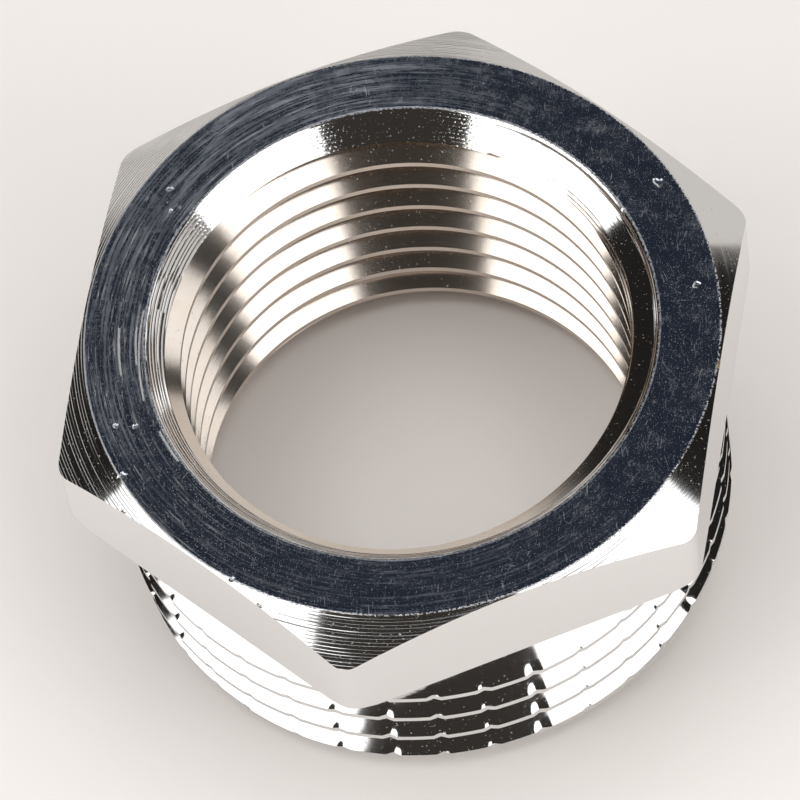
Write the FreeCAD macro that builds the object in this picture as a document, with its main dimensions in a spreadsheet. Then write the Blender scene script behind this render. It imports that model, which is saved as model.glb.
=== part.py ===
import FreeCAD, Part
import os

import Sketcher

# Hexagon reducing bush, turned in one piece: a male pipe thread outside, a smaller female one inside.
# The origin is the centre of the male end's face, and Z runs up the bore to the head.
# The male thread is a right-hand helix. The bore is plain, as wide as the crests of the female thread.

SIZES = [
    ("across_flats", 27.0, "head, from flat to flat"),
    ("head_height", 5.0, "thickness of the head"),
    ("corner_radius", 1.0, "rounding of the six upright edges"),
    ("face_inset", 0.1, "from the flats in to the edge of the round top face"),
    ("head_chamfer_angle", 30.0, "turned chamfer over the corners, in degrees from the face"),
    ("under_chamfer", 0.4, "reach of the smaller chamfer under each corner"),
    ("shank_length", 10.0, "from the male end's face to the head"),
    ("male_crest", 26.4, "male thread, diameter over the crests"),
    ("male_end", 23.9, "diameter of the male end's face inside its chamfer"),
    ("male_run_in", 0.61, "turns that the male cut starts below the end"),
    ("neck_length", 1.5, "plain neck between the male thread and the head"),
    ("neck_inset", 0.1, "how far the neck lies below the thread's roots"),
    ("female_crest", 19.1, "bore, the diameter inside the crests of its thread"),
    ("upper_mouth", 21.6, "countersink in the head's face"),
    ("lower_mouth", 21.0, "countersink in the male end"),
    ("thread_pitch", 1.814, "14 turns to the inch"),
    ("flank_angle", 55.0, "degrees between the thread's flanks"),
    ("notch_count", 38.0, "notches round the male crests"),
    ("notch_turn", 7.33, "degrees from X round to the first notch"),
    ("notch_width", 0.4, "width of a notch at the crest"),
    ("notch_depth", 0.18, "depth of a notch at the crest"),
]

# Thread form, from the pitch and the flank angle: crest and root are each a sixth of the pitch wide
THREAD_DEPTH = "(Sizes.thread_pitch / 3 / tan(Sizes.flank_angle * 0.5deg))"
CREST_WIDTH = "(Sizes.thread_pitch / 6)"
# The cutting profile stands this far proud of the crest, and still keeps clear of its own next turn
OVERRUN = "(Sizes.thread_pitch / 20)"

MALE_R = "(Sizes.male_crest / 2)"
FEMALE_R = "(Sizes.female_crest / 2)"
TOP = "(Sizes.shank_length + Sizes.head_height)"
# From the centre to the tip of a rounded corner
CORNER_REACH = "(Sizes.across_flats / sqrt(3) - Sizes.corner_radius * (2 / sqrt(3) - 1))"

doc = FreeCAD.newDocument("reducing_bush")


def fill_sheet():
    sheet = doc.addObject("Spreadsheet::Sheet", "Sizes")
    for row, (alias, value, note) in enumerate(SIZES, start=1):
        sheet.set(f"A{row}", str(value))
        sheet.setAlias(f"A{row}", alias)
        sheet.set(f"B{row}", note)
    doc.recompute()


def origin_part(role):
    return next(f for f in body.Origin.OriginFeatures if f.Role == role)


def add_sketch(name, plane, height="0"):
    sketch = body.newObject("Sketcher::SketchObject", name)
    sketch.AttachmentSupport = [(origin_part(plane), "")]
    sketch.MapMode = "FlatFace"
    sketch.setExpression("AttachmentOffset.Base.z", height)
    return sketch


def number(sketch, formula):
    return float(sketch.evalExpression(formula))


# A closed outline of straight lines. Every corner is held by two formulas: across and up.
def draw_outline(sketch, corners):
    places = [(number(sketch, across), number(sketch, up)) for across, up in corners]
    points = [FreeCAD.Vector(across, up, 0) for across, up in places]
    count = len(points)
    for i, point in enumerate(points):
        sketch.addGeometry(Part.LineSegment(point, points[(i + 1) % count]), False)
    for i in range(count):
        sketch.addConstraint(Sketcher.Constraint("Coincident", i, 2, (i + 1) % count, 1))
    for i, formulas in enumerate(corners):
        for kind, formula, place in zip(("DistanceX", "DistanceY"), formulas, places[i]):
            index = sketch.addConstraint(Sketcher.Constraint(kind, -1, 1, i, 1, place))
            sketch.renameConstraint(index, f"corner{i}{kind[-1]}")
            sketch.setExpression(f"Constraints.corner{i}{kind[-1]}", formula)


def draw_circle(sketch, radius):
    circle = Part.Circle(FreeCAD.Vector(), FreeCAD.Vector(0, 0, 1), number(sketch, radius))
    sketch.addGeometry(circle, False)
    sketch.addConstraint(Sketcher.Constraint("Coincident", 0, 3, -1, 1))
    index = sketch.addConstraint(Sketcher.Constraint("Radius", 0, circle.Radius))
    sketch.renameConstraint(index, "radius")
    sketch.setExpression("Constraints.radius", radius)


def turn_away(name, corners):
    sketch = add_sketch(f"{name}Profile", "XZ_Plane")
    draw_outline(sketch, corners)
    groove = body.newObject("PartDesign::Groove", name)
    groove.Profile = sketch
    groove.ReferenceAxis = (sketch, ["V_Axis"])
    groove.Angle = 360
    groove.Refine = False
    return groove


fill_sheet()
body = doc.addObject("PartDesign::Body", "ReducingBush")
body.Label = "reducing_bush"


# The head: a hexagon with two of its flats square to X
def make_head():
    sketch = add_sketch("HeadSection", "XY_Plane", "Sizes.shank_length")
    draw_outline(sketch, [
        (f"Sizes.across_flats / sqrt(3) * cos({angle}deg)", f"Sizes.across_flats / sqrt(3) * sin({angle}deg)")
        for angle in range(30, 390, 60)
    ])
    head = body.newObject("PartDesign::Pad", "Head")
    head.Profile = sketch
    head.setExpression("Length", "Sizes.head_height")
    doc.recompute()
    upright = [
        f"Edge{i}" for i, edge in enumerate(head.Shape.Edges, start=1)
        if abs(edge.Vertexes[0].Z - edge.Vertexes[-1].Z) > head.Length.Value / 2
    ]
    rounding = body.newObject("PartDesign::Fillet", "HeadCorners")
    rounding.Base = (head, upright)
    rounding.setExpression("Radius", "Sizes.corner_radius")
    doc.recompute()


def make_shank():
    sketch = add_sketch("ShankSection", "XY_Plane")
    draw_circle(sketch, MALE_R)
    shank = body.newObject("PartDesign::Pad", "Shank")
    shank.Profile = sketch
    shank.setExpression("Length", "Sizes.shank_length")
    shank.Refine = False


def make_bore():
    sketch = add_sketch("BoreSection", "XY_Plane")
    draw_circle(sketch, FEMALE_R)
    bore = body.newObject("PartDesign::Pocket", "Bore")
    bore.Profile = sketch
    bore.Reversed = True
    bore.setExpression("Length", TOP)
    bore.Refine = False


def make_notches():
    sketch = add_sketch("NotchSection", "XY_Plane")
    bottom = f"({MALE_R} - Sizes.notch_depth)"
    proud = f"({MALE_R} + {OVERRUN})"
    side = f"(Sizes.notch_width / 2 * ({proud} - {bottom}) / Sizes.notch_depth)"
    across = "cos(Sizes.notch_turn * 1deg)"
    along = "sin(Sizes.notch_turn * 1deg)"
    draw_outline(sketch, [
        (f"{bottom} * {across}", f"{bottom} * {along}"),
        (f"{proud} * {across} + {side} * {along}", f"{proud} * {along} - {side} * {across}"),
        (f"{proud} * {across} - {side} * {along}", f"{proud} * {along} + {side} * {across}"),
    ])
    notch = body.newObject("PartDesign::Pocket", "Notch")
    notch.Profile = sketch
    notch.Reversed = True
    notch.setExpression("Length", "Sizes.shank_length - Sizes.neck_length")
    notch.Refine = False
    doc.recompute()
    row = body.newObject("PartDesign::PolarPattern", "NotchRow")
    row.Originals = [notch]
    row.Axis = (origin_part("Z_Axis"), [""])
    row.Angle = 360
    row.setExpression("Occurrences", "Sizes.notch_count")
    row.Refine = False
    body.Tip = row


def turn_head():
    edge = "(Sizes.across_flats / 2 - Sizes.face_inset)"
    width = "(Sizes.across_flats / sqrt(3) - Sizes.across_flats / 2 + 2 * Sizes.face_inset)"
    turn_away("HeadChamfer", [
        (edge, TOP),
        (f"{edge} + {width}", f"{TOP} - {width} * tan(Sizes.head_chamfer_angle * 1deg)"),
        (f"{edge} + {width}", TOP),
    ])
    start = f"({CORNER_REACH} - Sizes.under_chamfer)"
    reach = "2 * Sizes.under_chamfer"
    turn_away("UnderChamfer", [
        (start, "Sizes.shank_length"),
        (f"{start} + {reach}", "Sizes.shank_length"),
        (f"{start} + {reach}", f"Sizes.shank_length + {reach} * tan(Sizes.head_chamfer_angle * 1deg)"),
    ])


def turn_shank():
    end = "(Sizes.male_end / 2)"
    turn_away("EndChamfer", [
        (end, "0"),
        (f"{MALE_R} + {OVERRUN}", f"{MALE_R} + {OVERRUN} - {end}"),
        (f"{MALE_R} + {OVERRUN}", "0"),
    ])
    neck = f"({MALE_R} - {THREAD_DEPTH} - Sizes.neck_inset)"
    low = "(Sizes.shank_length - Sizes.neck_length)"
    turn_away("Neck", [
        (neck, low),
        (f"{MALE_R} + {OVERRUN}", f"{low} - ({MALE_R} + {OVERRUN} - {neck})"),
        (f"{MALE_R} + {OVERRUN}", "Sizes.shank_length"),
        (neck, "Sizes.shank_length"),
    ])


def turn_mouths():
    inside = f"({FEMALE_R} - Sizes.thread_pitch)"
    upper = "(Sizes.upper_mouth / 2)"
    turn_away("UpperCountersink", [
        (inside, TOP),
        (inside, f"{TOP} - ({upper} - {inside})"),
        (upper, TOP),
    ])
    lower = "(Sizes.lower_mouth / 2)"
    turn_away("LowerCountersink", [
        (inside, "0"),
        (lower, "0"),
        (inside, f"{lower} - {inside}"),
    ])


# The cutting section is a trapezoid, from the root out past the crest
def cut_male_thread():
    sketch = add_sketch("MaleThreadSection", "XZ_Plane")
    root = f"{MALE_R} - {THREAD_DEPTH}"
    proud = f"{MALE_R} + {OVERRUN}"
    middle = "-Sizes.male_run_in * Sizes.thread_pitch"
    narrow = f"{CREST_WIDTH} / 2"
    wide = f"({narrow} + ({THREAD_DEPTH} + {OVERRUN}) * tan(Sizes.flank_angle * 0.5deg))"
    draw_outline(sketch, [
        (root, f"{middle} - {narrow}"),
        (proud, f"{middle} - {wide}"),
        (proud, f"{middle} + {wide}"),
        (root, f"{middle} + {narrow}"),
    ])
    helix = body.newObject("PartDesign::SubtractiveHelix", "MaleThread")
    helix.Profile = sketch
    helix.ReferenceAxis = (sketch, ["V_Axis"])
    helix.Mode = "pitch-height-angle"
    helix.setExpression("Pitch", "Sizes.thread_pitch")
    # The cut runs out in the neck, half a turn short of the head
    helix.setExpression("Height", "Sizes.shank_length + (Sizes.male_run_in - 0.5) * Sizes.thread_pitch")
    helix.Refine = False


def check(stage):
    doc.recompute()
    for item in doc.Objects:
        if "Invalid" in item.State or "Error" in item.State:
            raise RuntimeError(f"{stage}: {item.Label} failed: {item.State}")
    shape = body.Tip.Shape
    if shape.isNull() or not shape.isValid() or len(shape.Solids) != 1:
        raise RuntimeError(f"{stage}: the shape is not one valid solid")
    print(stage, round(shape.Volume, 3), len(shape.Faces))
    return shape.Volume


make_head()
make_shank()
whole = check("blank")
for name, step in [
    ("bore", make_bore),
    ("notches", make_notches),
    ("head turned", turn_head),
    ("shank turned", turn_shank),
    ("mouths turned", turn_mouths),
    ("male thread", cut_male_thread),
]:
    step()
    left = check(name)
    if left >= whole:
        raise RuntimeError(f"{name} removed nothing")
    whole = left

os.makedirs("parts", exist_ok=True)
body.Shape.exportStep(f"parts/{body.Label}.step")
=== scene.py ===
import math
import random

import bmesh
import bpy
from mathutils import Matrix, Vector, noise


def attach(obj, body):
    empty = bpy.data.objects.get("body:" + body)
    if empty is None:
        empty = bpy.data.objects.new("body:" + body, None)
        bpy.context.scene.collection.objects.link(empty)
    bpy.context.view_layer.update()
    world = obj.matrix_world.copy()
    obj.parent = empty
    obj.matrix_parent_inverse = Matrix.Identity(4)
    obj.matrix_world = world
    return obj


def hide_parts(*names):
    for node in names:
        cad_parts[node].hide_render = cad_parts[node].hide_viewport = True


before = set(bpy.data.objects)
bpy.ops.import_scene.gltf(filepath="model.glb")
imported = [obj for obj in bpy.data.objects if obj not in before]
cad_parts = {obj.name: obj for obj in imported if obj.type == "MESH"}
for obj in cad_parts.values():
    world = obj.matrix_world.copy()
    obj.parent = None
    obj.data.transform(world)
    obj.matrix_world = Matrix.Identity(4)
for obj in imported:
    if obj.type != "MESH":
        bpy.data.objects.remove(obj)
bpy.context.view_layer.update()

millimetre = 0.001
random.seed(11)
print("frame loaded")

# The photograph looks at the bush from the front right, so directions that were judged
# from the camera are turned by this much to get into the part's own frame
cameraTurn = Matrix.Rotation(math.radians(18.37), 3, "Z")
rightWay = cameraTurn @ Vector((1, 0, 0))
awayWay = cameraTurn @ Vector((0, 1, 0))


# Shader maths

class Wire:                                        # one output socket, so that shader maths reads as maths
    def __init__(self, net, socket):
        self.net = net
        self.socket = socket

    def __add__(self, other):
        return self.net.maths("ADD", self, other)

    def __radd__(self, other):
        return self.net.maths("ADD", other, self)

    def __sub__(self, other):
        return self.net.maths("SUBTRACT", self, other)

    def __rsub__(self, other):
        return self.net.maths("SUBTRACT", other, self)

    def __mul__(self, other):
        return self.net.maths("MULTIPLY", self, other)

    def __rmul__(self, other):
        return self.net.maths("MULTIPLY", other, self)

    def __truediv__(self, other):
        return self.net.maths("DIVIDE", self, other)

    def __pow__(self, other):
        return self.net.maths("POWER", self, other)

    def __gt__(self, other):
        return self.net.maths("GREATER_THAN", self, other)


class Net:                                         # a node tree that is filled through one method
    def __init__(self, tree):
        self.tree = tree
        tree.nodes.clear()

    def add(self, kind, settings=None, values=None, output=0):
        node = self.tree.nodes.new(kind)
        for name, value in (settings or {}).items():
            setattr(node, name, value)
        for name, value in (values or {}).items():
            if isinstance(value, Wire):
                self.tree.links.new(value.socket, node.inputs[name])
            else:
                node.inputs[name].default_value = value
        return Wire(self, node.outputs[output]) if node.outputs else node

    def maths(self, operation, *values):
        return self.add("ShaderNodeMath", {"operation": operation}, dict(enumerate(values)))

    def ease(self, value, start, end):             # 0 before start, 1 after end
        return self.add("ShaderNodeMapRange", {"interpolation_type": "SMOOTHSTEP"},
                        {"Value": value, "From Min": start, "From Max": end})

    def strip(self, value, start, full, fade, end):     # 1 from full to fade, 0 before start and after end
        return self.ease(value, start, full) * self.ease(value, end, fade)

    def furrows(self, value, width):               # one in each whole step of the value
        gap = self.maths("ABSOLUTE", self.maths("FRACT", value) - 0.5)
        return self.maths("MAXIMUM", 1 - gap / width, 0.0)

    def blend(self, share, first, second):         # of two colours
        return self.add("ShaderNodeMix", {"data_type": "RGBA"},
                        {"Factor": share, "A": first, "B": second}, output="Result")

    def parts(self, vector):
        x = self.add("ShaderNodeSeparateXYZ", None, {"Vector": vector})
        return x, Wire(self, x.socket.node.outputs["Y"]), Wire(self, x.socket.node.outputs["Z"])

    def distance(self, place, centre):
        return self.add("ShaderNodeVectorMath", {"operation": "DISTANCE"}, {0: place, 1: centre}, "Value")

    def cells(self, vector):                       # distance to a cell's middle, and two shares of its own
        gap = self.add("ShaderNodeTexVoronoi", {"voronoi_dimensions": "2D"}, {"Vector": vector, "Scale": 1})
        return (gap,) + self.parts(Wire(self, gap.socket.node.outputs["Color"]))[:2]

    def join(self, x, y, z):
        return self.add("ShaderNodeCombineXYZ", None, {"X": x, "Y": y, "Z": z})

    def noise(self, vector, scale, detail=2.0, roughness=0.5):
        return self.add("ShaderNodeTexNoise", None,
                        {"Vector": vector, "Scale": scale, "Detail": detail, "Roughness": roughness})


def newMaterial(name):
    material = bpy.data.materials.new(name)
    material.use_nodes = True
    return material, Net(material.node_tree)


# The bush, in millimetres and degrees

bush = {
    "flatReach": 13.5,            # from the axis to a flat of the hexagon
    "cornerRadius": 1.004,        # a hair over the solid's, so that the skin stays inside its box
    "height": 15.0,
    "headBottom": 10.0,
    "faceEdge": 13.4,             # radius of the round top face
    "chamferAngle": 30.0,
    "underEdge": 15.033,          # radius where the small chamfer under a corner starts
    "upperMouth": 10.8,
    "lowerMouth": 10.5,
    "rimWidth": 0.05,             # rounding of the mouth's edge
    "pitch": 1.814,
    "threadDepth": 1.162,
    "crestHalf": 0.151,
    "rootRadius": 0.249,
    "halfFlank": 27.5,
    "rootSteps": 5,
    "flankDepth": 0.98,           # where a flank meets the root's rounding
    "notchRows": [0.12, 0.28, 0.45],     # depths of more rows under the male crest
    "femaleCrest": 9.55,
    "femaleLift": 1.016,          # height of a crest's middle where the helix passes +X
    "maleCrest": 13.2,
    "maleLift": -0.2,
    "maleEnd": 11.95,             # radius of the end's face inside its chamfer
    "neck": 11.938,
    "shoulder": 8.5,              # height where the neck starts
    "aboveShoulder": 0.6,         # up to a ring on the neck
    "cornerColumns": [0.35, 0.7, 1.05, 1.4, 1.65, 1.871, 2.1, 2.9],     # degrees from a corner
    "flatColumns": 30,            # from there to the middle of a flat
    "underRing": 12.6,            # these rings keep the shading even
    "chamferRings": [15.2, 14.9, 14.6, 14.3, 14.0, 13.8, 13.6],
    "faceRings": [12.8, 12.2, 11.6, 11.2, 11.0],
    "mouthDrops": [0.2, 0.4, 0.6, 0.8, 1.0],
    "ragged": 0.035,              # unevenness of the mouth's edge
    "raggedScales": [24, 75],
}

notches = {
    "count": 38,
    "first": 7.33,                # degrees round from +X
    "depth": 0.06,
    "frontDepth": 0.12,           # of those that face the camera
    "frontAt": 288,               # degrees round from +X
    "frontReach": 20,             # and this far either side
    "halfWidth": 1.2,             # degrees
    "lip": 0.012,
    "lipAt": 1.45,                # degrees from the notch's middle
    "lipHalf": 0.55,
    "lipBehind": 0.4,             # share of the lip on the other side
    "fall": 0.015,                # how far a crest falls from one notch to the next
    "shares": [0.85, 1.0, 0.75, 0.15, 0.0],     # of the depth, at a crest's edges and three rows beyond
    "columns": [0, 0.45, 0.9, 1.35, 1.9, 3.3],     # degrees either side of a notch
}

chamferSlope = math.tan(math.radians(bush["chamferAngle"]))
flankLean = math.tan(math.radians(bush["halfFlank"]))


def headReach(degrees):                            # from the axis to the hexagon's outline
    fromFlat = (degrees + 30) % 60 - 30
    corner = math.radians(30 - abs(fromFlat))
    centre = (bush["flatReach"] - bush["cornerRadius"]) / math.cos(math.radians(30))
    aside = centre * math.sin(corner)
    if aside < bush["cornerRadius"] / 2:           # on the rounding
        return centre * math.cos(corner) + math.sqrt(bush["cornerRadius"] ** 2 - aside ** 2)
    return bush["flatReach"] / math.cos(math.radians(fromFlat))


def headColumns():
    close = bush["cornerColumns"]
    steps = bush["flatColumns"]
    wide = [close[-1] + (30 - close[-1]) * step / steps for step in range(1, steps + 1)]
    offsets = [0] + [sign * offset for offset in close + wide for sign in (-1, 1)]
    corners = range(30, 360, 60)
    return sorted({round((corner + offset) % 360, 4) for corner in corners for offset in offsets})


# One turn of thread as pairs of height and depth, from the lower edge of a crest to that of the next
def threadTurn(extraRows):
    half = bush["pitch"] / 2
    land = bush["crestHalf"]
    root = bush["rootRadius"]
    centre = bush["threadDepth"] - root
    swingEnd = 90 - bush["halfFlank"]
    turn = [(-land, 0.0), (land, 0.0)]
    turn += [(land + depth * flankLean, depth) for depth in extraRows + [bush["flankDepth"]]]
    for step in range(bush["rootSteps"] + 1):
        swing = math.radians(swingEnd * (2 * step / bush["rootSteps"] - 1))
        turn.append((half + root * math.sin(swing), centre + root * math.cos(swing)))
    turn.append((bush["pitch"] - land - bush["flankDepth"] * flankLean, bush["flankDepth"]))
    return turn


def between(first, second, share):
    return tuple(a + (b - a) * share for a, b in zip(first, second))


# Points run inwards from one end of the thread. Those that the cap takes away gather where the thread
# comes out of it, and a crest that the cap only grazes is cut down to it. Where the cap ends on a
# crest, the point in the crest's middle moves there.
def clipThread(points, cap, side):
    room = [side * (cap(z) - r) for r, z in points]
    first = next(i for i, gap in enumerate(room) if gap >= 0)
    clipped = list(points)
    if first:
        share = room[first] / (room[first] - room[first - 1])
        clipped[:first] = [between(points[first], points[first - 1], share)] * first
    for i in range(first, len(points)):
        if room[i] < 0:
            clipped[i] = (cap(points[i][1]), points[i][1])
    for i in range(first + 1, len(points) - 1):
        before, after = room[i - 1], room[i + 1]
        if points[i - 1][0] == points[i][0] == points[i + 1][0] and (before < 0) != (after < 0):
            clipped[i] = between(points[i - 1], points[i + 1], before / (before - after))
    return clipped


# What would reach below the end's face is gathered in the face
def cutAtEnd(points):
    first = next(i for i, (r, z) in enumerate(points) if z >= 0)
    (r0, z0), (r1, z1) = points[first - 1], points[first]
    edge = (r0 - (r1 - r0) * z0 / (z1 - z0), 0.0)
    return [edge] * first + points[first:]


def threadColumn(degrees, lift, crest, side, turn, press=None):
    points = []
    for count in range(-2, 9):                     # from below the end's face to above the head
        middle = lift + bush["pitch"] * (degrees / 360 + count)
        for row, (rise, depth) in enumerate(turn):
            pressed = press[row] if press else 0.0
            points.append((crest - side * depth - pressed, middle + rise))
    return cutAtEnd(points)


femaleTurn = threadTurn([])
femaleTurn.insert(1, (0.0, 0.0))                   # the middle of the crest
maleTurn = threadTurn(bush["notchRows"])


# From the neck, over the head, down the bore and out to the end's edge
def headAndBore(degrees):
    reach = headReach(degrees)
    top = bush["height"]
    bottom = bush["headBottom"]

    def under(r):
        return bottom + max(0.0, r - bush["underEdge"]) * chamferSlope

    def bevel(r):
        return top - max(0.0, r - bush["faceEdge"]) * chamferSlope

    column = [(bush["neck"], bottom), (bush["underRing"], bottom)]
    column += [(r, under(r)) for r in (min(bush["underEdge"], reach), reach)]
    column += [(reach, bottom + share * (bevel(reach) - bottom)) for share in (0.5, 1)]
    column += [(min(r, reach), bevel(min(r, reach))) for r in bush["chamferRings"]]
    column += [(r, top) for r in [bush["faceEdge"]] + bush["faceRings"]]

    rim = bush["rimWidth"]
    close = 0.4 * rim                              # between the rows either side of the rounding
    mouth = bush["upperMouth"]
    turned = math.radians(degrees)
    broad, small = [noise.noise(Vector((math.cos(turned), math.sin(turned), layer)) * scale)
                    for layer, scale in zip((0, 3), bush["raggedScales"])]
    ragged = bush["ragged"] * (broad + small) / 2
    column += [(mouth + rim + close + ragged, top), (mouth + rim + ragged, top),
               (mouth + ragged * 0.5, top - 0.3 * rim - abs(ragged) * 0.2),
               (mouth - rim, top - rim), (mouth - rim - close, top - rim - close)]

    thread = threadColumn(degrees, bush["femaleLift"], bush["femaleCrest"], -1, femaleTurn)
    thread = clipThread(thread, lambda z: bush["lowerMouth"] - z, -1)
    thread = clipThread(thread[::-1], lambda z: mouth - (top - z), -1)
    lip = thread[0]
    column += [(mouth - drop, top - drop) if top - drop > lip[1] else lip for drop in bush["mouthDrops"]]
    column += thread
    low = thread[-1]
    edge = max(bush["lowerMouth"], low[0]) if low[1] == 0 else bush["lowerMouth"]
    column += [between(low, (edge, 0.0), 0.5), (edge, 0.0), (bush["maleEnd"], 0.0)]
    return column


notchMarks = [notches["first"] + 360 / notches["count"] * k for k in range(notches["count"])]
notchTraits = []
for mark in notchMarks:
    inFront = abs(mark - notches["frontAt"]) < notches["frontReach"]
    notchTraits.append({
        "depth": random.uniform(0.85, 1.15) * notches["frontDepth" if inFront else "depth"],
        "wide": random.uniform(0.9, 1.15),
        "shift": random.uniform(-0.12, 0.12),
        "run": random.uniform(0.8, 1.25),
    })


def maleColumns():
    half = 180 / notches["count"]
    angles = []
    for mark, trait in zip(notchMarks, notchTraits):
        middle = mark + trait["shift"]
        angles += [middle + sign * offset for offset in notches["columns"] for sign in (-1, 1)]
        angles.append(mark + half)
    return sorted({round(angle % 360, 4) for angle in angles})


# How far each row of a thread turn is pressed in at this angle
def notchPress(degrees):
    space = 360 / notches["count"]
    k = round((degrees - notches["first"]) / space) % notches["count"]
    trait = notchTraits[k]
    away = (degrees - notchMarks[k] - trait["shift"] + 180) % 360 - 180
    across = abs(away) / trait["wide"]
    sunk = max(0.0, 1 - across / notches["halfWidth"]) * trait["depth"]
    lip = max(0.0, 1 - abs(across - notches["lipAt"]) / notches["lipHalf"]) * notches["lip"]
    if away <= 0:
        lip *= notches["lipBehind"]
    slope = notches["fall"] * ((away / space) % 1)
    land = sunk - lip + slope
    lower, upper, near, far, last = notches["shares"]
    shares = [lower, upper, near * min(1, trait["run"]), far * trait["run"], last]
    return [land * share if sunk > 0 else land * max(0, 1 - 0.4 * i) for i, share in enumerate(shares)]


def maleSide(degrees):                             # from the end's edge up to the neck's top
    press = notchPress(degrees) + [0.0] * (len(maleTurn) - len(notches["shares"]))
    thread = threadColumn(degrees, bush["maleLift"], bush["maleCrest"], 1, maleTurn, press)
    thread = clipThread(thread, lambda z: bush["maleEnd"] + z, 1)
    thread = clipThread(thread[::-1], lambda z: bush["neck"] + max(0.0, bush["shoulder"] - z), 1)[::-1]
    end = (bush["maleEnd"], 0.0)
    high = thread[-1][1]
    shoulder = bush["shoulder"]
    rings = [max(high, shoulder), max(high, shoulder + bush["aboveShoulder"]), bush["headBottom"]]
    column = [end, between(end, thread[0], 0.5)] + thread
    return column + [(bush["neck"] + max(0.0, shoulder - z), z) for z in rings]


# A skin of four-sided faces through columns of (radius, height) points that go once round the axis
def addShell(shape, angles, columnAt):
    lines = []
    for degrees in angles + [angles[0] + 360]:
        turned = math.radians(degrees)
        across, along = math.cos(turned), math.sin(turned)
        lines.append([shape.verts.new((r * across * millimetre, r * along * millimetre, z * millimetre))
                      for r, z in columnAt(degrees)])
    for left, right in zip(lines, lines[1:]):
        for i in range(len(left) - 1):
            shape.faces.new((left[i], right[i], right[i + 1], left[i + 1]))


def inMouth(vert):                                 # whether it lies on the cone of the upper mouth
    x, y, z = vert.co / millimetre
    return abs(math.hypot(x, y) - z - (bush["upperMouth"] - bush["height"])) < 0.002


def makeBush():
    shape = bmesh.new()
    addShell(shape, headColumns(), headAndBore)
    addShell(shape, maleColumns(), maleSide)
    bmesh.ops.remove_doubles(shape, verts=shape.verts, dist=2e-7)
    bmesh.ops.dissolve_degenerate(shape, edges=shape.edges, dist=2e-7)
    shape.edges.index_update()
    lip = [edge.index for edge in shape.edges if all(inMouth(vert) for vert in edge.verts)
           and sum(all(inMouth(vert) for vert in face.verts) for face in edge.link_faces) == 1]
    mesh = bpy.data.meshes.new("reducingBush")
    shape.to_mesh(mesh)
    shape.free()
    mesh.polygons.foreach_set("use_smooth", [True] * len(mesh.polygons))
    mesh.set_sharp_from_angle(angle=math.radians(28))
    for index in lip:                              # where the thread leaves the mouth's cone
        mesh.edges[index].use_edge_sharp = True
    piece = bpy.data.objects.new("reducingBush", mesh)
    bpy.context.scene.collection.objects.link(piece)
    return piece


bushPiece = makeBush()
print("bush made,", sum(len(face.vertices) - 2 for face in bushPiece.data.polygons), "triangles")


# Plated brass

plating = {
    "colour": (0.79, 0.785, 0.78, 1),
    "boreColour": (0.80, 0.72, 0.65, 1),
    "stain": (0.77, 0.68, 0.59, 1),
    "dullColour": (0.62, 0.61, 0.59, 1),
    "brass": (0.80, 0.56, 0.30, 1),
    "roughness": 0.07,
    "hazeColour": (0.75, 0.79, 0.86, 1),
    "haze": 0.215,                # more roughness where the top face is rubbed
    "turningDepth": 0.0011,       # millimetres
    "turningPitch": 0.11,
    "groovePitch": 0.125,         # on the chamfer
    "grooveDepth": 0.010,
    "conePitch": 0.12,            # in height, on the mouth's cone
    "coneDepth": 0.012,
    "nibbleDepth": 0.012,         # along the edges of the top face
    "dingDepth": 0.05,
    "arcDepth": 0.014,
    "pitDepth": 0.004,
    "waveDepth": 0.0012,
    "scratchRoughness": 0.5,
    "edgeRoughness": 0.42,
    "boreRoughness": 0.06,
    "hairTurns": [8, 47, 83, 121, 160],
    "hairs": ((18, 0.9, 0), 0.88, 0.15),         # stretch, rarity and width
    "scratchTurns": [29, 104, 141],
    "scratches": ((8, 0.5, 0), 0.9, 0.13),
}

# Places in millimetres, each with a radius
dings = [((9.67, 8.28, 15), 0.34), ((12.02, 3.52, 15), 0.25), ((-10.92, 5.62, 15), 0.24),
         ((-10.68, 4.6, 15), 0.13), ((8.37, 6.66, 15), 0.22), ((10.54, 1.52, 15), 0.2),
         ((-5.05, -12.45, 15), 0.18), ((-3.8, -13.37, 14.7), 0.16), ((-11.12, -5.89, 15), 0.2),
         ((-10.37, -5.85, 15), 0.2), ((-10.47, -8.23, 15), 0.24), ((-12.7, -8.7, 14.0), 0.16),
         ((-11.4, -9.35, 14.25), 0.2), ((-10.3, -9.6, 14.6), 0.2)]
bareSpots = [((13.5, -0.16, 14.9), 0.27), ((-10.34, 4.83, 15), 0.1), ((-5.5, 9.43, 15), 0.09)]

# Long scratches round the mouth: radius and degrees at the start, then at the end
arcs = [(11.19, -173.5, 11.2, -165.1), (10.98, -178, 11.17, -156), (11.92, -173.5, 11.9, -163.3),
        (11.03, -147.1, 10.98, -139)]


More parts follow.
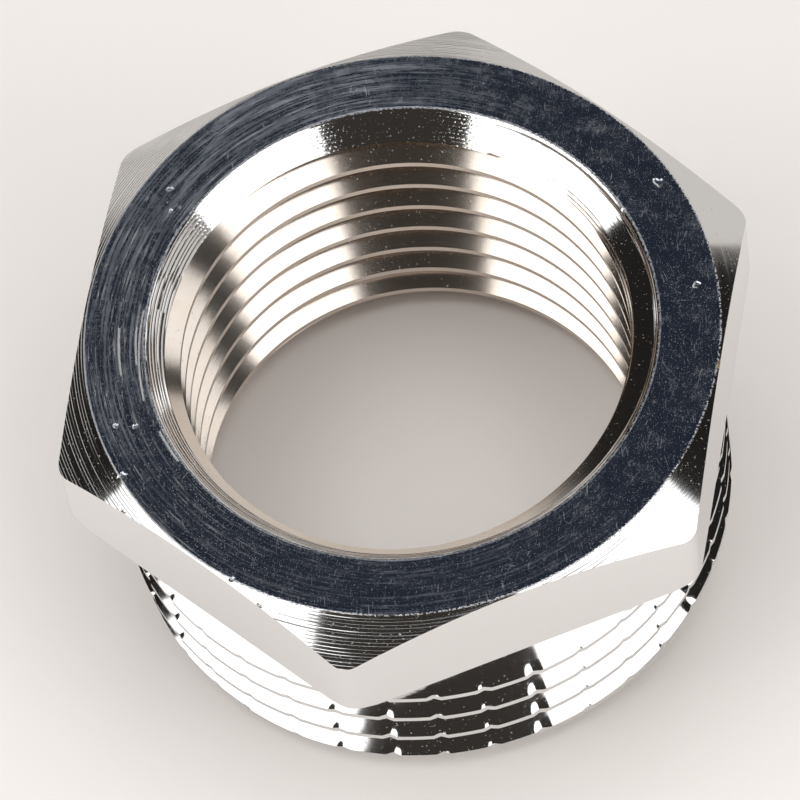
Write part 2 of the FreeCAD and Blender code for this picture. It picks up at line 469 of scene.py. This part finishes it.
def makePlating():
    material, net = newMaterial("platedBrass")
    place = net.add("ShaderNodeTexCoord", None, None, "Object")
    place = net.add("ShaderNodeVectorMath", {"operation": "SCALE"}, {"Vector": place, "Scale": 1000})
    x, y, z = net.parts(place)
    radius = (x * x + y * y) ** 0.5
    angle = net.maths("ARCTAN2", y, x)
    right = x * rightWay.x + y * rightWay.y
    away = x * awayWay.x + y * awayWay.y
    nz = net.parts(net.add("ShaderNodeNewGeometry", None, None, "True Normal"))[2]

    # Where each kind of surface lies, as shares from 0 to 1
    top = bush["height"]
    faceEdge = bush["faceEdge"]
    mouth = bush["upperMouth"]
    onFace = net.ease(z, top - 0.03, top - 0.015) * net.ease(nz, 0.95, 0.99)
    onSide = net.ease(radius, faceEdge - 0.1, faceEdge) * net.strip(nz, -0.3, -0.1, 0.1, 0.3)
    onChamfer = net.ease(radius, faceEdge - 0.02, faceEdge + 0.02) * net.ease(nz, 0.6, 0.8)
    onCone = net.ease(radius, mouth + 0.1, mouth) * net.strip(nz, 0.6, 0.66, 0.76, 0.82)
    inBore = net.ease(radius, mouth + 0.2, mouth - 0.3) * net.ease(z, 14.3, 13.6)
    atTop = net.ease(z, top - 0.1, top - 0.05)
    outer = net.strip(radius - faceEdge, -0.05, -0.015, 0.015, 0.05) * atTop
    inner = net.strip(radius - mouth, -0.01, 0.03, 0.08, 0.13) * atTop

    # Turning marks, the grooves of the chamfer and the cone, nibbled edges
    grain = 1 / plating["turningPitch"]
    lines = net.noise(net.join(radius * grain, z * grain, angle * 1.3), 1, 2, 0.6)
    coarse = net.noise(net.join(radius * grain * 0.45, z * grain * 0.45, angle * 0.5), 1, 0)
    height = (lines + coarse * 0.8) * plating["turningDepth"] * (1 - onSide)
    groove = net.furrows(radius / plating["groovePitch"] + coarse * 0.5, 0.2)
    patchy = (0.25 + coarse) * (1 - 0.8 * net.ease(right, 5, 10)) * (1 - 0.9 * net.ease(away, 9, 12))
    patchy = patchy * (1 - net.ease(away, -5, -1) * net.ease(right, 8, 11))
    height = height - groove * patchy * onChamfer * plating["grooveDepth"]
    groove = net.furrows(z / plating["conePitch"] + coarse * 0.6, 0.3)
    broken = net.ease(net.noise(net.join(radius * 9, z * 9, angle * 60), 1, 1), 0.35, 0.6)
    broken = net.maths("MAXIMUM", broken * 0.35, net.ease(away, 7, 4))
    height = height - groove * broken * onCone * plating["coneDepth"]
    specks = net.noise(place, 9, 2, 0.7)
    nibbled = net.ease(specks, 0.5, 0.6)
    height = height - nibbled * (outer + inner) * plating["nibbleDepth"]

    # Dings, long scratches, bare spots and pits
    wobble = net.noise(place, 5, 0)
    dented = 0.0
    for centre, size in dings:
        dented = dented + net.ease(net.distance(place, centre) + wobble * size, size * 1.45, size * 0.5)
    height = height - dented * plating["dingDepth"]
    long = 0.0
    for startRadius, start, endRadius, end in arcs:
        start, end = math.radians(start), math.radians(end)
        path = (angle - start) * ((endRadius - startRadius) / (end - start)) + startRadius
        gap = net.maths("ABSOLUTE", radius - path + (wobble - 0.5) * 0.03)
        along = net.strip(angle, start - 0.01, start, end, end + 0.01)
        long = long + net.ease(gap, 0.055, 0.015) * along
    height = height - long * plating["arcDepth"]
    bare = 0.0
    for centre, size in bareSpots:
        bare = bare + net.ease(net.distance(place, centre) + wobble * size, size * 1.5, size * 1.2)
    bare = net.maths("MINIMUM", bare, 1.0)
    pits = net.ease(specks, 0.69, 0.75)
    height = height - pits * plating["pitDepth"] + net.noise(place, 1.4, 1) * plating["waveDepth"]

    # Hair scratches, straight ones all over and bowed ones round the axis
    bend = net.noise(place, 0.45, 1)
    flat = net.join(x + bend * 1.5, y - bend * 1.2, 0)
    scratched = 0.0
    strokes = [(turn, plating["hairs"]) for turn in plating["hairTurns"]]
    strokes += [(turn, plating["scratches"]) for turn in plating["scratchTurns"]]
    for number, (turn, (stretch, rare, width)) in enumerate(strokes):
        stretched = net.add("ShaderNodeMapping", None, {
            "Vector": flat, "Scale": stretch,
            "Rotation": (0, 0, math.radians(turn)), "Location": (number * 7, 0, 0)})
        gap, shade, other = net.cells(stretched)
        strength = (shade > rare) * (0.12 + 0.88 * other * other)
        scratched = scratched + net.ease(gap, width, 0.02) * strength
    leftHalf = net.ease(right, -6, -10.5)
    gap, shade, other = net.cells(net.join(radius * 9, angle * 3, 0))
    strength = (shade > 0.9 - 0.22 * leftHalf) * (0.4 + 0.9 * leftHalf)
    scratched = scratched + net.ease(gap, 0.14, 0.03) * strength

    # Colour and roughness
    stained = net.ease(net.noise(place, 0.5, 3, 0.6), 0.4, 0.65)
    bore = net.blend(stained, plating["boreColour"], plating["stain"])
    colour = net.blend(inBore, plating["colour"], bore)
    colour = net.blend(pits * 0.6, colour, plating["dullColour"])
    colour = net.blend(bare, colour, plating["brass"])
    cloud = net.ease(net.noise(place, 1.3, 5, 0.82), 0.35, 0.8)
    fine = net.ease(net.noise(net.join(radius * 9, angle * 2.5, 0), 1, 4, 0.8), 0.38, 0.72)
    specked = net.ease(net.noise(place, 19, 2, 0.8), 0.48, 0.7)
    worn = 0.95 + 0.5 * net.ease(away - right, 4, 13) + 0.35 * net.ease(away, 5, 11)
    plain = net.ease(right, 2, 9)                  # the rings of the lathe don't show at the right
    rubbed = 0.2 + cloud * (0.3 + 0.7 * plain) + fine * (1.1 - 0.9 * plain) + specked * (0.2 + 0.6 * cloud)
    sparks = net.ease(net.noise(place, 17, 0), 0.71, 0.77) * (0.4 + 0.9 * cloud + 0.6 * leftHalf)
    scratched = net.maths("MINIMUM", scratched * (0.85 + cloud) + sparks + long, 1.0) * onFace
    colour = net.blend(onFace - scratched, colour, plating["hazeColour"])
    rough = plating["roughness"] + rubbed * worn * onFace * plating["haze"]
    rough = rough + plating["scratchRoughness"] * scratched
    wear = outer * (net.ease(right, -6, -11) + nibbled) + inner * (0.35 + 0.5 * nibbled)
    dots = net.ease(specks, 0.67, 0.71) * (onChamfer + onCone)
    rough = rough + plating["edgeRoughness"] * net.maths("MINIMUM", wear + dots, 1.0)
    rough = rough + pits * 0.2 + dented * 0.1 + bare * 0.2 + inBore * plating["boreRoughness"]

    bump = net.add("ShaderNodeBump", None, {"Strength": 1.0, "Distance": 0.001, "Height": height})
    shader = net.add("ShaderNodeBsdfPrincipled", None, {
        "Base Color": colour, "Metallic": 1.0, "Roughness": rough, "Normal": bump})
    net.add("ShaderNodeOutputMaterial", None, {"Surface": shader})
    return material


bushPiece.data.materials.append(makePlating())
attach(bushPiece, "root")
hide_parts("reducing_bush")
print("plating made")


# Table, soft boxes, surroundings and camera

table = {
    "size": 4.0,                  # metres
    "colour": (0.885, 0.845, 0.815, 1),
    "shade": (0.855, 0.812, 0.78, 1),
    "roughness": 0.75,
}


def makeTable():
    mesh = bpy.data.meshes.new("table")
    half = table["size"] / 2
    corners = [(-half, -half, 0), (half, -half, 0), (half, half, 0), (-half, half, 0)]
    mesh.from_pydata(corners, [], [(0, 1, 2, 3)])
    piece = bpy.data.objects.new("table", mesh)
    bpy.context.scene.collection.objects.link(piece)
    material, net = newMaterial("paleTable")
    place = net.add("ShaderNodeTexCoord", None, None, "Object")
    tone = net.noise(place, 60, 3)
    shader = net.add("ShaderNodeBsdfPrincipled", None, {
        "Base Color": net.blend(tone, table["colour"], table["shade"]),
        "Roughness": table["roughness"], "Specular IOR Level": 0.2})
    net.add("ShaderNodeOutputMaterial", None, {"Surface": shader})
    mesh.materials.append(material)


makeTable()

# Upright soft boxes and a white card, by the middle of the lower edge from the centre of the bush's top,
# seen from the camera: right, away, up. The glow is how bright they look; white is 1.
softBoxes = {
    "left": {"edge": (-269, -119, 60), "along": (0.416, -0.892, 0.176), "reach": (0.068, 0.223, 0.972),
             "width": 320, "length": 760, "glow": 1.8},
    "right": {"edge": (184, -234, 60), "along": (0.704, 0.68, -0.203), "reach": (0.075, 0.213, 0.974),
              "width": 286, "length": 760, "glow": 1.85},
    "card": {"edge": (80.5, 35, 59), "along": (-0.291, 0.956, 0.021), "reach": (-0.53, -0.179, 0.829),
             "width": 35, "length": 30, "glow": 1.15},
    "fill": {"edge": (0, -150, 600), "along": (1, 0, 0), "reach": (0, 1, 0),
             "width": 600, "length": 600, "glow": 2.0},
}


def makeSoftBox(name, box):
    lamp = bpy.data.lights.new(name + "SoftBox", "AREA")
    lamp.shape = "RECTANGLE"
    lamp.size = box["width"] * millimetre
    lamp.size_y = box["length"] * millimetre
    lamp.energy = box["glow"] * math.pi * lamp.size * lamp.size_y
    along = (cameraTurn @ Vector(box["along"])).normalized()
    reach = (cameraTurn @ Vector(box["reach"])).normalized()
    middle = cameraTurn @ Vector(box["edge"]) + reach * box["length"] / 2
    away = along.cross(reach).normalized()
    if away.dot(middle) < 0:                       # a lamp shines along its own -Z
        along, away = -along, -away
    holder = bpy.data.objects.new(name + "SoftBox", lamp)
    turn = Matrix((along, away.cross(along), away)).transposed()
    middle.z += bush["height"]
    holder.matrix_world = Matrix.Translation(middle * millimetre) @ turn.to_4x4()
    holder.visible_camera = False                  # other views look through them
    holder.visible_glossy = name != "fill"         # it evens out the table only
    bpy.context.scene.collection.objects.link(holder)


for name, box in softBoxes.items():
    makeSoftBox(name, box)

# A dim room above a pale band that stands behind the table
room = {
    "blue": (0.016, 0.0205, 0.031, 1),
    "dark": (0.040, 0.035, 0.031, 1),               # towards the camera
    "black": (0.016, 0.0145, 0.013, 1),             # at the sides and behind
    "blueWay": (0, 0.527, 0.85),                    # seen from the camera: right, away, up
    "band": (0.70, 0.67, 0.64, 1),
    "bandTop": 0.23,              # sine of its height, which rises to the right
    "bandRise": 0.15,
    "wallRise": 0.3,              # how much higher a pale wall stands at the right, behind
}


def makeRoom():
    world = bpy.data.worlds.new("room")
    world.use_nodes = True
    bpy.context.scene.world = world
    net = Net(world.node_tree)
    way = net.add("ShaderNodeTexCoord", None, None, "Generated")
    x, y, z = net.parts(way)
    right = x * rightWay.x + y * rightWay.y
    away = x * awayWay.x + y * awayWay.y
    blueWay = cameraTurn @ Vector(room["blueWay"])
    toBlue = x * blueWay.x + y * blueWay.y + z * blueWay.z
    dark = net.blend(net.ease(away, -0.35, -0.05), room["dark"], room["black"])
    dark = net.blend(net.ease(toBlue, 0.80, 0.94), dark, room["blue"])
    wall = net.ease(away - 0.75 * right, 0.0, 0.05) * net.ease(right, 0.25, 0.4)
    edge = room["bandTop"] + room["bandRise"] * right + room["wallRise"] * wall
    share = 1 - net.ease(z - edge, -0.05, 0.05)
    colour = net.blend(share, dark, room["band"])
    glow = net.add("ShaderNodeBackground", None, {"Color": colour, "Strength": 1.0})
    net.add("ShaderNodeOutputWorld", None, {"Surface": glow})


makeRoom()

view = {
    "place": (47.151, -141.988, 278.045),
    "aim": (0.4917, -3.3178, 15.0),
    "roll": -10.585,
    "lens": 324.98,
}


def makeCamera():
    lens = bpy.data.cameras.new("camera")
    lens.lens = view["lens"]
    lens.sensor_width = 36
    lens.clip_start = 0.01
    lens.clip_end = 20
    place = Vector(view["place"])
    look = (Vector(view["aim"]) - place).normalized()
    right = look.cross(Vector((0, 0, 1))).normalized()
    up = right.cross(look)
    roll = math.radians(view["roll"])
    across = right * math.cos(roll) + up * math.sin(roll)
    holder = bpy.data.objects.new("camera", lens)
    turn = Matrix((across, (-look).cross(across), -look)).transposed()
    holder.matrix_world = Matrix.Translation(place * millimetre) @ turn.to_4x4()
    bpy.context.scene.collection.objects.link(holder)
    bpy.context.scene.camera = holder


makeCamera()
bpy.context.scene.view_settings.view_transform = "Standard"
print("stage, lamps and camera made")
